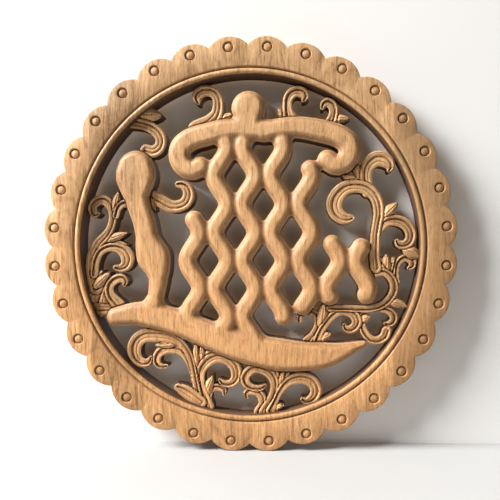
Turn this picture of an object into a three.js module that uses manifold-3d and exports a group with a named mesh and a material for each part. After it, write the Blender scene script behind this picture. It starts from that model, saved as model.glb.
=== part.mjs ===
// Round pierced wall panel, carved from one glued-up board.
//
// Millimetres, +Z up. The panel hangs in the XZ plane: its flat back lies on y = 0, its carved face
// looks towards -Y, and the origin is the centre of the back. Heights below are measured from the back.

import * as THREE from 'three';
import { LoftGeometry } from 'three/addons/geometries/LoftGeometry.js';
import { mergeVertices } from 'three/addons/utils/BufferGeometryUtils.js';
import Module from 'manifold-3d';

const wasm = await Module();
wasm.setup();

// Driving dimensions

const PANEL_DIAMETER = 500; // over the tips of the scallops
const THICKNESS = 25; // of the board, and of the rim's flat face
const SCALLOPS = 32; // one stud in each
const SCALLOP_RADIUS = 30.5; // of each scallop's arc
const ARC_STEPS = 5; // straight steps in each scallop's arc

const OPENING_RADIUS = 205.5; // inner wall of the rim
const BEAD_WIDTH = 7; // half-round bead along the inner edge
const BEAD_DROP = 3; // how far the bead's sides fall below the face
const BEAD_CROWN = 0.25; // flat-topped part of the faceted bead starts this share of its width in
const GROOVE_WIDTH = 2; // V-groove between bead and flat face
const RING_STEPS = 52; // straight steps round the bead and the groove

const STUD_CIRCLE = 237.5; // radius of the circle of stud centres
const STUD_RADIUS = 5.2; // foot of the domed stud
const STUD_GROOVE_RADIUS = 6.9; // outer edge of the groove cut round the stud
const STUD_GROOVE_DEPTH = 2.4;
const STUD_SHOULDER = [0.66, 0.2]; // shares of the stud's radius and of the groove's depth
const STUD_STEPS = 7;
const CLEARANCE = 3; // how far a cutter reaches past what it cuts

const STROKE_TOP = 24; // crest of the bold strokes in the middle
const STROKE_SHOULDER = 0.74; // height of a stroke's edge as a share of its crest
const SCROLL_TOP = 17; // crest of the scrolls behind the strokes
const LEAF_TOP = 18.5;
const LEAF_EDGE = 0.78; // height of a leaf's edge as a share of its folded crest

const NET_PITCH = 34; // sideways distance between the wavy bars of the net
const NET_WAVE = 68; // length of one wave
const NET_SWAY = 7.6; // sideways swing of a bar, enough for neighbours to touch
const NET_HALF = 11.3; // half-width of a bar
const NET_LEFT = -68; // middle of the bar furthest to the left
const NET_STEPS = 4; // straight steps in one wave

const NARROW_HALF = 9; // scrolls up to this half-width have a plain ridge in place of a groove
const INNER_ROOM = 0.85; // the inner side of a turn stays within this share of the turn's radius
const SLACK = 2.2; // points of a curl closer than this to the line between their neighbours are left out
const ROOT_RADIUS = 208; // scrolls that spring from the rim start this far out, inside its wood

const WELD = 1e-3; // vertices closer than this are one
const TIDY = 0.25; // the finished solid's small steps under this are smoothed away

const WOOD_COLOUR = 0xc08f5e;

const rad = THREE.MathUtils.degToRad;

// Solids

function solidOf(geometry) {
	const bare = new THREE.BufferGeometry();
	bare.setAttribute('position', geometry.getAttribute('position'));
	bare.setIndex(geometry.index);
	const welded = mergeVertices(bare, WELD);
	const corners = [];
	const index = welded.index.array;
	for (let i = 0; i < index.length; i += 3) {
		const [a, b, c] = [index[i], index[i + 1], index[i + 2]];
		if (a !== b && b !== c && c !== a) corners.push(a, b, c);
	}
	return new wasm.Manifold(new wasm.Mesh({
		numProp: 3,
		vertProperties: new Float32Array(welded.attributes.position.array),
		triVerts: new Uint32Array(corners),
	}));
}

function geometryOf(solid) {
	const mesh = solid.getMesh();
	const geometry = new THREE.BufferGeometry();
	geometry.setAttribute('position', new THREE.BufferAttribute(mesh.vertProperties, 3));
	geometry.setIndex(new THREE.BufferAttribute(mesh.triVerts, 1));
	const flat = geometry.toNonIndexed();
	flat.computeVertexNormals();
	return flat;
}

// A profile of [radius, height] points turned about the axis that looks out of the panel's face.
function turned(profile, steps) {
	const points = profile.map(([radius, height]) => new THREE.Vector2(radius, height));
	const geometry = new THREE.LatheGeometry(points, steps);
	geometry.rotateX(Math.PI);
	return geometry;
}

// The rim

// Corner points of the outline: a ring of equal arcs that meet in sharp valleys.
function scallopedOutline() {
	const pitch = 2 * Math.PI / SCALLOPS;
	const centreRadius = PANEL_DIAMETER / 2 - SCALLOP_RADIUS;
	const spread = Math.asin(centreRadius * Math.sin(pitch / 2) / SCALLOP_RADIUS) + pitch / 2;
	const points = [];
	for (let k = 0; k < SCALLOPS; k++) {
		const middle = (k + 0.5) * pitch + Math.PI / 2;
		const centre = new THREE.Vector2(Math.cos(middle), Math.sin(middle)).multiplyScalar(centreRadius);
		for (let i = 0; i < ARC_STEPS; i++) {
			const angle = middle - spread + 2 * spread * i / ARC_STEPS;
			const out = new THREE.Vector2(Math.cos(angle), Math.sin(angle)).multiplyScalar(SCALLOP_RADIUS);
			points.push(out.add(centre));
		}
	}
	return points;
}

function rimBlank() {
	const shape = new THREE.Shape(scallopedOutline());
	const opening = new THREE.Path();
	opening.absarc(0, 0, OPENING_RADIUS, 0, 2 * Math.PI, true);
	shape.holes.push(new THREE.Path(opening.getPoints(RING_STEPS / 2)));
	const geometry = new THREE.ExtrudeGeometry(shape, { depth: THICKNESS, bevelEnabled: false });
	geometry.rotateX(Math.PI / 2);
	return solidOf(geometry);
}

// What is cut away to leave the half-round bead and the groove beside it.
function beadCutter() {
	const inner = OPENING_RADIUS;
	const outer = inner + BEAD_WIDTH;
	const foot = THICKNESS - BEAD_DROP;
	const above = THICKNESS + CLEARANCE;
	return solidOf(turned([
		[inner - CLEARANCE, above],
		[inner - CLEARANCE, foot],
		[inner, foot],
		[inner + BEAD_CROWN * BEAD_WIDTH, THICKNESS],
		[outer - BEAD_CROWN * BEAD_WIDTH, THICKNESS],
		[outer, foot],
		[outer + GROOVE_WIDTH, THICKNESS],
		[outer + GROOVE_WIDTH, above],
		[inner - CLEARANCE, above],
	], RING_STEPS));
}

// What is cut away round one stud, on the panel's axis; its place is set by the caller.
function studCutter(x, z) {
	const above = THICKNESS + CLEARANCE;
	const [shoulder, drop] = STUD_SHOULDER;
	const geometry = turned([
		[0, above],
		[0, THICKNESS],
		[shoulder * STUD_RADIUS, THICKNESS - drop * STUD_GROOVE_DEPTH],
		[STUD_RADIUS, THICKNESS - STUD_GROOVE_DEPTH],
		[STUD_GROOVE_RADIUS, THICKNESS],
		[STUD_GROOVE_RADIUS, above],
		[0, above],
	], STUD_STEPS);
	geometry.translate(x, 0, z);
	return solidOf(geometry);
}

function rim() {
	let solid = rimBlank().subtract(beadCutter());
	const pitch = 2 * Math.PI / SCALLOPS;
	for (let k = 0; k < SCALLOPS; k++) {
		const angle = (k + 0.5) * pitch + Math.PI / 2;
		const x = STUD_CIRCLE * Math.cos(angle);
		const z = STUD_CIRCLE * Math.sin(angle);
		solid = solid.subtract(studCutter(x, z));
	}
	return solid;
}

// Bands: a section carried along a centreline in the panel's plane

// Top of each section from one edge to the other, as [share of the half-width, share of the height].
const STROKE_SECTION = [[-1, STROKE_SHOULDER], [-0.5, 1], [0.5, 1], [1, STROKE_SHOULDER]];
const WIDE_SECTION = [[-1, 0.93], [-0.35, 1], [0.15, 0.86], [1, 0.95]];
const NARROW_SECTION = [[-1, 0.9], [-0.1, 1], [1, 0.9]];
const LEAF_SECTION = [[-1, LEAF_EDGE], [0, 1], [1, LEAF_EDGE]];

// stations: [{ at, heading, half, inner }], with at and heading as Vector2 in the panel's plane. half is
// the width to the right of the heading, and to the left where no inner width is given.
function band(stations, section, top) {
	const sections = stations.map(({ at, heading, half, inner = half }) => {
		const across = new THREE.Vector2(heading.y, -heading.x).normalize();
		const corner = (side, height) => {
			const offset = side * (side < 0 ? inner : half);
			return new THREE.Vector3(at.x + offset * across.x, -height, at.y + offset * across.y);
		};
		const ring = section.map(([side, share]) => corner(side, share * top));
		return [...ring, corner(1, 0), corner(-1, 0)];
	});
	return solidOf(new LoftGeometry(sections, { capStart: true, capEnd: true }));
}

// Value at share t of a list of evenly spaced values, joined by straight lines.
function along(list, t) {
	const place = t * (list.length - 1);
	const i = Math.min(Math.floor(place), list.length - 2);
	return THREE.MathUtils.lerp(list[i], list[i + 1], place - i);
}

// A band with round ends along any curve.
function roundEnded(curve, halves, steps, section, top) {
	const length = curve.getLength();
	const [first, last] = [halves[0] / length, halves[halves.length - 1] / length];
	const shares = [0.04 * first, 0.3 * first];
	for (let i = 0; i <= steps; i++) shares.push(THREE.MathUtils.lerp(first, 1 - last, i / steps));
	shares.push(1 - 0.3 * last, 1 - 0.04 * last);
	const stations = shares.map((t) => {
		const inset = Math.min(t / first, (1 - t) / last, 1);
		const half = along(halves, t) * Math.sqrt(1 - (1 - inset) ** 2);
		return { at: curve.getPointAt(t), heading: curve.getTangentAt(t), half };
	});
	return band(stations, section, top);
}

const through = (points) => new THREE.SplineCurve(points.map(([x, z]) => new THREE.Vector2(x, z)));

// A point in the rim's wood, by its clock angle in degrees from the top.
function onRim(clock) {
	return [ROOT_RADIUS * Math.sin(rad(clock)), ROOT_RADIUS * Math.cos(rad(clock))];
}

// How far the way from a over b to c turns left: twice the area of their triangle.
const turn = (a, b, c) => (b.x - a.x) * (c.y - b.y) - (b.y - a.y) * (c.x - b.x);

// Radius of the circle through three points, without limit where they lie on a line.
function turnRadius(a, b, c) {
	return a.distanceTo(b) * b.distanceTo(c) * c.distanceTo(a) / (2 * Math.abs(turn(a, b, c)));
}

// The stations without those that lie nearly on the line between their neighbours.
function thinned(stations) {
	const kept = [stations[0]];
	for (let i = 1; i < stations.length - 1; i++) {
		const [a, b, c] = [kept[kept.length - 1].at, stations[i].at, stations[i + 1].at];
		if (Math.abs(turn(a, b, c)) > SLACK * a.distanceTo(c)) kept.push(stations[i]);
	}
	return [...kept, stations[stations.length - 1]];
}

// A band along points of [x, z, half-width]. The section's +1 side lies on the outside of its turns.
function curl(points, section, top) {
	let stations = thinned(points.map(([x, z, half]) => ({ at: new THREE.Vector2(x, z), half })));
	const turns = stations.slice(2).map(({ at }, i) => turn(stations[i].at, stations[i + 1].at, at));
	if (turns.reduce((sum, value) => sum + value, 0) < 0) stations = stations.reverse();
	const last = stations.length - 1;
	stations.forEach((station, i) => {
		const before = stations[Math.max(i - 1, 0)].at;
		const after = stations[Math.min(i + 1, last)].at;
		const room = i > 0 && i < last ? INNER_ROOM * turnRadius(before, station.at, after) : Infinity;
		station.heading = after.clone().sub(before);
		station.inner = Math.min(station.half, room);
	});
	return band(stations, section, top);
}

function scroll(...points) {
	const widest = Math.max(...points.map(([, , half]) => half));
	return curl(points, widest > NARROW_HALF ? WIDE_SECTION : NARROW_SECTION, SCROLL_TOP);
}

// A leaf folded along its middle, swelling from its root and running out to its tip.
function leaf(root, tip, half, bend = 0) {
	const [start, end] = [new THREE.Vector2(...root), new THREE.Vector2(...tip)];
	const run = end.clone().sub(start);
	const sag = new THREE.Vector2(-run.y, run.x).multiplyScalar(bend);
	const middle = start.clone().lerp(end, 0.5).addScaledVector(sag, 2);
	const curve = new THREE.QuadraticBezierCurve(start, middle, end);
	const shares = [[0, 0.6], [0.35, 1], [0.72, 0.64], [1, 0.06]];
	const stations = shares.map(([t, share]) => (
		{ at: curve.getPoint(t), heading: curve.getTangent(t), half: half * share }
	));
	return band(stations, LEAF_SECTION, LEAF_TOP);
}

// The bold strokes in the middle: a canopy, a finial, a net of wavy bars, a gourd and a crescent

function canopy() {
	return [
		curl([[19, 139, 12], [-25, 141, 13], [-52, 135, 14], [-69, 130, 14], [-81, 121, 14], [-84, 109, 13.5],
			[-79, 98, 13], [-69, 93, 12.5], [-57, 97, 9]], STROKE_SECTION, STROKE_TOP),
		curl([[19, 139, 12], [55, 143, 13], [88, 138, 14], [108, 132, 14], [119, 123, 14], [121, 111, 13.5],
			[115, 101, 13], [104, 98, 12.5], [92.5, 104, 9]], STROKE_SECTION, STROKE_TOP),
	];
}

function finial() {
	return roundEnded(through([[0, 132], [0, 188]]), [13, 15, 22, 21], 5, STROKE_SECTION, STROKE_TOP);
}

// One bar of the net, from its top to its foot; neighbours sway in opposite ways.
function netBar(column, top, foot) {
	const x = NET_LEFT + column * NET_PITCH;
	const swing = column % 2 ? -NET_SWAY : NET_SWAY;
	const count = Math.round(4 * (top - foot) / NET_WAVE);
	const points = [];
	for (let i = 0; i <= count; i++) {
		const z = THREE.MathUtils.lerp(top, foot, i / count);
		points.push([x + swing * Math.sin(2 * Math.PI * z / NET_WAVE), z]);
	}
	const steps = Math.round(NET_STEPS * (top - foot) / NET_WAVE);
	return roundEnded(through(points), [NET_HALF, NET_HALF], steps, STROKE_SECTION, STROKE_TOP);
}

function net() {
	const reaches = [[44, -99], [136, -114], [136, -124], [136, -96], [104, -84], [14, -72], [10, -70]];
	return reaches.map(([top, foot], column) => netBar(column, top, foot));
}

function gourd() {
	const spine = through([[-137, 112], [-137, 62], [-128, 30], [-123, 4], [-112, -30], [-114, -56], [-122, -86]]);
	return roundEnded(spine, [17, 25, 15, 14, 14, 21, 12, 10, 20], 13, STROKE_SECTION, STROKE_TOP);
}

function crescent() {
	const spine = through([[-176, -87], [-133, -82], [-84, -94], [-24, -118], [37, -132], [94, -132], [143, -117]]);
	return roundEnded(spine, [10, 16.5, 17, 19, 20.5, 16, 3], 9, STROKE_SECTION, STROKE_TOP);
}

// Scrolls and leaves that tie the strokes to the rim, clockwise from the top left

function upperLeft() {
	return [
		scroll([-118, 62, 7], [-106, 54.5, 8], [-96, 49.5, 7.7], [-87, 49.5, 7.5], [-78, 54, 7.5],
			[-74, 63, 7.3], [-76, 71, 6.3], [-82, 75.5, 5], [-87, 76, 4]),
		leaf([-127, 61], [-115, 44], 6),
		leaf([-46, 150], [-10, 160.5], 7),
		scroll([-62, 141, 13], [-47, 150, 10.5], [-39, 160, 8], [-37, 170, 7], [-38, 179, 6.3],
			[-43, 186, 6.2], [-51, 188.3, 6.6], [-58.5, 186.5, 7], [-63, 181, 6.2], [-61.5, 174, 2.5]),
		leaf(onRim(320.5), [-105, 159.5], 8.5),
		scroll([-150, 153, 8.5], [-137, 150.5, 6.8], [-125, 147.5, 6.6], [-114, 141, 6.8], [-107.5, 132, 7],
			[-109, 121.5, 7.2], [-117, 116, 7.5], [-126, 118, 7]),
	];
}

function left() {
	return [
		leaf([-184, -82], [-175, -38], 7),
		leaf([-198, -72], [-181, -28], 10, 0.05),
		scroll([-194, -75.5, 7.5], [-180, -76.5, 7.2], [-166, -77.5, 7]),
		leaf([-178, 2], [-149, 3], 6.5),
		leaf([-178, 8], [-149, 17.5], 5.5),
		scroll([-190, -50, 9], [-194, -35, 8], [-195, -20, 7.5], [-192, -6, 7], [-185.5, 5, 6.5],
			[-178.5, 12, 6], [-172, 21, 5.2], [-168.3, 32, 5], [-168, 42, 5.2], [-171, 51, 5.6],
			[-178, 57.3, 6], [-186, 57, 6], [-192, 51, 5.6], [-192.5, 44.5, 5.2], [-190, 40, 4.2],
			[-186, 40.5, 2.2]),
		leaf([-165, 46], [-160, 68], 5.5),
		scroll([-164, 38, 4], [-160.5, 48, 4.3], [-154, 53, 4.6], [-146, 52, 4.5]),
		scroll([-192, -34, 5], [-190, -18, 5], [-184, -6, 4.8], [-174, -0.5, 5], [-163, -0.8, 6],
			[-154, -6, 8], [-150.2, -14, 8.7], [-152.5, -22.5, 7], [-159, -26, 5], [-165, -25, 3.5]),
		leaf([-190, -48], [-171.5, -30.5], 6.5),
		scroll([-162, -72, 8], [-173, -58, 6], [-173, -47.5, 5.5], [-166, -40, 5.6], [-158, -38.3, 5.4],
			[-153.5, -42.5, 4], [-155, -47, 2]),
	];
}

function lowerLeft() {
	return [
		scroll([-53, -198, 6], [-53, -187, 5], [-51, -178.5, 4.8], [-45, -173.5, 4.5], [-38, -173.5, 4],
			[-33, -177, 3.3], [-32.5, -182, 2]),
		leaf([-57, -184], [-46, -158], 6.5),
		leaf([-62, -140], [-26, -125], 5.5, 0.12),
		leaf([-66, -162], [-57, -114], 6.5),
		leaf([-69, -168], [-66, -112], 6),
		scroll([-53, -198, 8], [-58, -183, 6.5], [-62, -168, 5.5], [-61.5, -154, 6], [-55, -143, 7],
			[-46.5, -137, 7.4], [-36, -135.5, 7.5], [-26, -139.5, 7.3], [-18.8, -148, 7.2],
			[-16.8, -158, 7], [-20.5, -166, 5.6], [-27.5, -169, 4.6], [-34, -167.5, 3.8], [-37.5, -164, 2]),
		scroll([-62, -194, 6], [-66, -176, 5], [-69, -160, 5], [-72.5, -148, 5], [-77, -138, 5],
			[-83.5, -130.5, 5], [-92, -126, 5.4], [-100, -125, 6.2], [-108, -127, 6.2], [-114, -132.5, 5.4],
			[-116.3, -139.5, 5.2], [-114, -145, 4.3], [-108.5, -147.5, 3.3], [-103.5, -146.5, 2]),
		leaf([-93, -119], [-118, -121], 5.5),
		scroll([-64, -190, 6], [-68, -165, 4], [-71, -148, 4], [-75, -134, 4.5], [-83, -121.5, 5],
			[-93, -113.5, 6.5], [-105, -109.5, 8.6], [-118, -108.3, 8.8], [-130, -109, 8.8],
			[-138.5, -114, 8.6], [-143, -121.5, 8.6], [-143.5, -130.5, 8.2], [-140, -138.5, 7],
			[-133.5, -143, 6], [-126.5, -142, 4.7], [-123, -136.5, 2.5]),
		scroll([-62, -192, 8], [-73, -183.5, 8.5], [-82, -177.5, 7.5], [-89.5, -173.5, 5]),
	];
}

function lowerMiddle() {
	return [
		scroll([12, -204, 8], [15, -194, 5.5], [14, -185, 5.3], [8, -179, 5], [0, -177.5, 4.5],
			[-5, -180.5, 3.8], [-4.5, -186, 2]),
		leaf([34, -174], [33, -148], 4.5),
		leaf([39, -178], [48.5, -150.5], 5),
		leaf([35, -184], [41, -149], 5.5),
		scroll([18, -204, 8], [24.5, -190, 5.5], [29, -178, 5], [30, -168, 5.5], [26, -158, 6],
			[17, -151.3, 6.2], [7, -149.3, 6], [-2, -153.5, 5.9], [-6.8, -162, 5.8], [-4, -169.5, 5],
			[4, -173.8, 4.2], [12.5, -174, 3.8], [18, -170.5, 2]),
		leaf([23, -199], [42, -195], 5.5),
		scroll([25, -202, 6], [31, -189, 4], [36.5, -178, 4.5], [43.5, -168.8, 5.5], [52, -163.2, 6.6],
			[62, -161.3, 7.2], [72, -163.5, 7.3], [79, -170, 7.4], [81, -178.5, 7.4], [77, -186.5, 6.5],
			[69.5, -190, 4.5], [64, -187.5, 2.5]),
	];
}

function lowerRight() {
	return [
		leaf([82, -113], [99.5, -107], 6.5),
		scroll([70, -116, 6], [77, -108, 4.6], [82.3, -99, 4.6], [83.5, -90, 4.7], [79.5, -82.5, 4.2],
			[72, -79.5, 4], [65, -81.3, 4], [61, -86, 4], [60.5, -91, 3.5]),
		leaf([88, -98], [91, -67], 7.5),
		scroll([150, -76, 4], [161, -76.5, 3.5], [169.5, -79, 4.3], [175.3, -85, 5], [174.5, -91.5, 4.8],
			[169.5, -94.7, 3.6], [165, -94, 2]),
		scroll([131, -80, 4], [134.5, -89, 4.5], [137, -98, 4.6], [141.5, -107, 4.6], [148.5, -113.7, 5],
			[157, -114.6, 5.3], [164.5, -110, 6], [167, -103.5, 6.2]),
		leaf([136, -90], [147.5, -85], 5),
		scroll([82, -115, 5], [87, -103, 4.5], [94, -92.5, 4.5], [102, -84, 5], [111.5, -79, 5.2],
			[121, -79.5, 6], [128, -84.2, 6.3], [131, -91.5, 6.4], [128, -98.5, 5.8], [122, -101.5, 5],
			[117, -99.8, 3.8], [115.2, -95.5, 2]),
		leaf([170, -66], onRim(111), 5.5),
		leaf([163, -28], [157.5, -12.5], 5),
		leaf([170, -28], [175.5, -12.5], 5.5),
		leaf([166, -30], [166, -9.5], 6.5),
		leaf([162, -27], [147, -19.5], 5.5),
		scroll([178, -44, 4.5], [178, -32, 3.2], [179.5, -22.5, 3.6], [184.3, -15.8, 4.2], [191, -14.3, 5],
			[197.3, -18.3, 5.2], [197.3, -24, 4], [193.5, -26.5, 2.5]),
		scroll([97, -75, 4], [120, -75.5, 4.3], [140, -76.4, 4.3], [152, -75, 4.5], [162, -71, 4.6],
			[170.5, -63.5, 4.8], [175.5, -54, 5.2], [175, -44, 5.2], [169.5, -35.5, 5], [161, -31, 4.8],
			[153, -33, 4.6], [148.5, -38.5, 4.4], [148.5, -43.5, 3]),
	];
}

function right() {
	return [
		leaf([190, -4], onRim(94), 8),
		leaf([140, 76], [111, 86], 7.5),
		leaf([141, 80], [126, 100], 8),
		leaf([160, 33], [179.5, 52.5], 8),
		scroll([143, 66, 7], [141.5, 79, 7.2], [141.3, 90, 7.8], [145.5, 99.5, 8.8], [154, 105.5, 9.5],
			[162.5, 104.5, 9.3], [169, 99.5, 7], [170.3, 94.5, 4.5], [168.5, 90.5, 2]),
		scroll([152, -2, 5], [153.3, 9, 5.3], [155.5, 17, 5.5], [160, 24.5, 5.6], [167, 29.8, 6],
			[176, 31.2, 6.6], [186, 28.5, 7], [193.5, 21.5, 7], [196, 12, 6.8], [193, 4.5, 6.3],
			[187, 1.5, 5.5], [181.5, 2.5, 4.8], [178.8, 6, 3]),
		scroll([154, -26, 7], [152, -12, 6.3], [152.5, 2, 6.2], [153, 14, 6], [155, 27, 6], [157, 39, 6.5],
			[156.2, 50, 6.8], [151.7, 61, 7], [143, 69, 7.4], [130, 72.6, 7.8], [117, 70.5, 8.6],
			[107.5, 62.5, 9.4], [103, 52, 10], [105.5, 41, 9], [112.5, 34.8, 8], [119, 33.3, 6.5],
			[123.5, 34, 4.5]),
	];
}

function upperRight() {
	return [
		leaf([46, 155], [34.5, 166], 5.5),
		scroll([51, 149, 11], [47.5, 160.5, 7], [46.3, 170, 5.6], [47.5, 178, 6], [51.5, 184, 6.4],
			[58.5, 186.5, 6.6], [65, 184.5, 6.4], [68, 179.5, 4.6], [65.5, 175.5, 2.2]),
		leaf([101, 154], [122, 153], 5.5),
		scroll([98, 146, 8], [101.5, 156, 6], [102.5, 164, 5.8], [100, 170, 5.8], [94.5, 173, 5.4],
			[90, 170.5, 4.2], [88.5, 166, 2.2]),
	];
}

// The whole panel

function panel() {
	const parts = [
		rim(),
		...canopy(),
		finial(),
		...net(),
		gourd(),
		crescent(),
		...upperLeft(),
		...left(),
		...lowerLeft(),
		...lowerMiddle(),
		...lowerRight(),
		...right(),
		...upperRight(),
	];
	return parts.reduce((sum, part) => sum.add(part)).simplify(TIDY);
}

const wood = new THREE.MeshStandardMaterial({ color: WOOD_COLOUR, roughness: 0.55, metalness: 0 });
wood.name = 'camphor_wood';

const carvedPanel = new THREE.Mesh(geometryOf(panel()), wood);
carvedPanel.name = 'carved_panel';

const group = new THREE.Group();
group.name = 'wall_panel';
group.add(carvedPanel);

export default group;
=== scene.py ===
"""Dresses the round pierced wall panel: one carved wooden piece over the CAD frame, and a plain studio."""

import math

import bpy
import numpy as np
from bpy.props import FloatProperty, FloatVectorProperty, IntProperty, PointerProperty
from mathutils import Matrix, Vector


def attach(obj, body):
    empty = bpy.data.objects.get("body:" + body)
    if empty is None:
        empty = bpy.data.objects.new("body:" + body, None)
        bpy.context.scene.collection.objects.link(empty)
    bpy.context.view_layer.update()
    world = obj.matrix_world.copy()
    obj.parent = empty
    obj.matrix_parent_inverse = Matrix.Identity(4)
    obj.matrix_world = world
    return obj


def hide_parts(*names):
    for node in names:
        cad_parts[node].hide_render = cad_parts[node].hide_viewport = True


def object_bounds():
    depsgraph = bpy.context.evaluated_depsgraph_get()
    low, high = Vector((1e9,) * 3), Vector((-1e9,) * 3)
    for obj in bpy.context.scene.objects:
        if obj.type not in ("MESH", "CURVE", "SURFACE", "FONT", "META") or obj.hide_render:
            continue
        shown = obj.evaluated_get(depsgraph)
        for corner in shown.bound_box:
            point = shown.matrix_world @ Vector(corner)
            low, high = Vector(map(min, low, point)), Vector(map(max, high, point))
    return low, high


bl_info = {
    "name": "Carved Wall Panel",
    "version": (1, 0, 0),
    "blender": (4, 5, 0),
    "location": "3D View > Sidebar > Panel",
    "description": "Builds the carved surface, the wood and the studio of a round pierced wall panel",
    "category": "Object",
}

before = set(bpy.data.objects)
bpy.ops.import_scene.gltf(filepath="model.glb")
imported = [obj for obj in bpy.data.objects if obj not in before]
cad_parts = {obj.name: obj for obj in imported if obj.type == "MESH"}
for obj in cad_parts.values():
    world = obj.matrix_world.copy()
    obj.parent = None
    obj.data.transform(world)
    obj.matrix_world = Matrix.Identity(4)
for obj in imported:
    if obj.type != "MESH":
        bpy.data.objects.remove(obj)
cad_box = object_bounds()

NODE = "carved_panel"
MM = 0.001  # the functions below work in millimetres, and the meshes are in metres
ROOT_RADIUS = 208  # leaves that meet the rim start or end this far out, inside its wood
RIM_OVERLAP = 1.6  # how far the openwork runs into the rim's wood
BLEND = 7.0  # width over which two bold strokes flow into each other
CUT_WIDTH = 1.7  # width of the cut that sets a scroll off from the one beneath it
CUT_DEPTH = 1.8
PATH_STEP = 1.2  # distance between the points that stand for a centreline
CROSSING_ROOM = 0.08  # share of a cell's side by which the outline keeps clear of the grid's points


# Centrelines: every shape of the openwork is a disc of changing size carried along a path.

def on_rim(clock):
    """The point at a clock angle in degrees from the top, just inside the rim's wood."""
    return (ROOT_RADIUS * math.sin(math.radians(clock)), ROOT_RADIUS * math.cos(math.radians(clock)))


def bezier(start, middle, end, count):
    """Quadratic Bezier curve: the blend of its three points with weights (1-t)^2, 2t(1-t) and t^2."""
    t = np.linspace(0, 1, count)[:, None]
    start, middle, end = map(np.asarray, (start, middle, end))
    return (1 - t) ** 2 * start + 2 * t * (1 - t) * middle + t ** 2 * end


def resample(points, half):
    """The path at even distances of about PATH_STEP, with its half-widths read at the same places."""
    run = np.r_[0, np.cumsum(np.hypot(*np.diff(points, axis=0).T))]
    at = np.linspace(0, run[-1], max(3, int(run[-1] / PATH_STEP)))
    path = np.c_[np.interp(at, run, points[:, 0]), np.interp(at, run, points[:, 1])]
    return path, np.interp(at, run, half)


def spline(points, count):
    """Centripetal Catmull-Rom curve through the points, by Barry and Goldman's pyramid of straight blends.
    The columns after the first two, such as a half-width, are carried along."""
    p = np.asarray(points, float)
    p = np.vstack([2 * p[0] - p[1], p, 2 * p[-1] - p[-2]])
    pieces = []
    for k in range(1, len(p) - 2):
        p0, p1, p2, p3 = p[k - 1:k + 3]
        t0 = 0.0
        t1 = t0 + math.sqrt(np.linalg.norm((p1 - p0)[:2]))
        t2 = t1 + math.sqrt(np.linalg.norm((p2 - p1)[:2]))
        t3 = t2 + math.sqrt(np.linalg.norm((p3 - p2)[:2]))
        t = np.linspace(t1, t2, count)[:, None]
        a1 = (t1 - t) / (t1 - t0) * p0 + (t - t0) / (t1 - t0) * p1
        a2 = (t2 - t) / (t2 - t1) * p1 + (t - t1) / (t2 - t1) * p2
        a3 = (t3 - t) / (t3 - t2) * p2 + (t - t2) / (t3 - t2) * p3
        b1 = (t2 - t) / (t2 - t0) * a1 + (t - t0) / (t2 - t0) * a2
        b2 = (t3 - t) / (t3 - t1) * a2 + (t - t1) / (t3 - t1) * a3
        pieces.append((t2 - t) / (t2 - t1) * b1 + (t - t1) / (t2 - t1) * b2)
    return np.vstack(pieces)


def through(points):
    """The path through points of place, place and half-width."""
    path = spline(points, 16)
    return resample(path[:, :2], path[:, 2])


def stroke_path(points, halves):
    """A spline drawn in from its ends by the end half-widths, so that the end discs reach the ends. Where
    the half-width grows quickly, as on the gourd's head, the disc reaches some 5 mm past the end."""
    path = spline(points, 24)
    run = np.r_[0, np.cumsum(np.hypot(*np.diff(path, axis=0).T))]
    half = np.interp(run / run[-1], np.linspace(0, 1, len(halves)), halves)
    keep = (run > halves[0]) & (run < run[-1] - halves[-1])
    return resample(path[keep], half[keep])


def leaf_path(root, tip, half, bend):
    """A bent axis whose half-width swells to a third of the way and runs out at the tip."""
    start, end = np.asarray(root, float), np.asarray(tip, float)
    run = end - start
    middle = (start + end) / 2 + np.array([-run[1], run[0]]) * bend * 2
    path = bezier(start, middle, end, 60)
    t = np.linspace(0, 1, 60)
    swell = np.interp(t, [0, 0.18, 0.35, 0.55, 0.72, 0.88, 1], [0.6, 0.88, 1, 0.88, 0.64, 0.34, 0.06])
    return resample(path, half * swell)


# The shapes, clockwise from the top left, with the solid's named sizes. The outlines aren't quite the
# solid's: ends are round here and mostly cut straight there, and bars flow together here where the
# solid's facets leave narrow slits.

def net_bars(left, pitch, wave, sway, half):
    """Bars that sway as sway sin(2 pi z / wave), neighbours in opposite ways, so that they touch."""
    reaches = [(44, -99), (136, -114), (136, -124), (136, -96), (104, -84), (14, -72), (10, -70)]
    bars = []
    for column, (top, foot) in enumerate(reaches):
        z = np.linspace(top - half, foot + half, 160)
        side = -1 if column % 2 else 1
        x = left + column * pitch + side * sway * np.sin(2 * np.pi * z / wave)
        bars.append(resample(np.c_[x, z], np.full(len(z), half)))
    return bars


def strokes(sizes):
    """The bold strokes: canopy, finial, net, gourd and crescent, each a path with its half-widths. The
    canopy's two curled ends reach about 10 mm further than the solid's."""
    gourd = [(-137, 112), (-137, 62), (-128, 30), (-123, 4), (-112, -30), (-114, -56), (-122, -86)]
    crescent = [(-176, -87), (-133, -82), (-84, -94), (-24, -118), (37, -132), (94, -132), (143, -117)]
    return [
        through([(19, 139, 12), (-25, 141, 13), (-52, 135, 14), (-69, 130, 14), (-81, 121, 14),
                 (-84, 109, 13.5), (-79, 98, 13), (-69, 93, 12.5), (-59, 97, 12)]),
        through([(19, 139, 12), (55, 143, 13), (88, 138, 14), (108, 132, 14), (119, 123, 14),
                 (121, 111, 13.5), (115, 101, 13), (104, 98, 12.5), (94.5, 104, 12)]),
        stroke_path([(0, 132), (0, 160), (0, 188)], (13, 15, 22, 21)),
        *net_bars(sizes.net_left, sizes.net_pitch, sizes.net_wave, sizes.net_sway, sizes.net_half),
        stroke_path(gourd, (17, 25, 15, 14, 14, 21, 12, 10, 20)),
        stroke_path(crescent, (10, 16.5, 17, 19, 20.5, 16, 3)),
    ]


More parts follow.
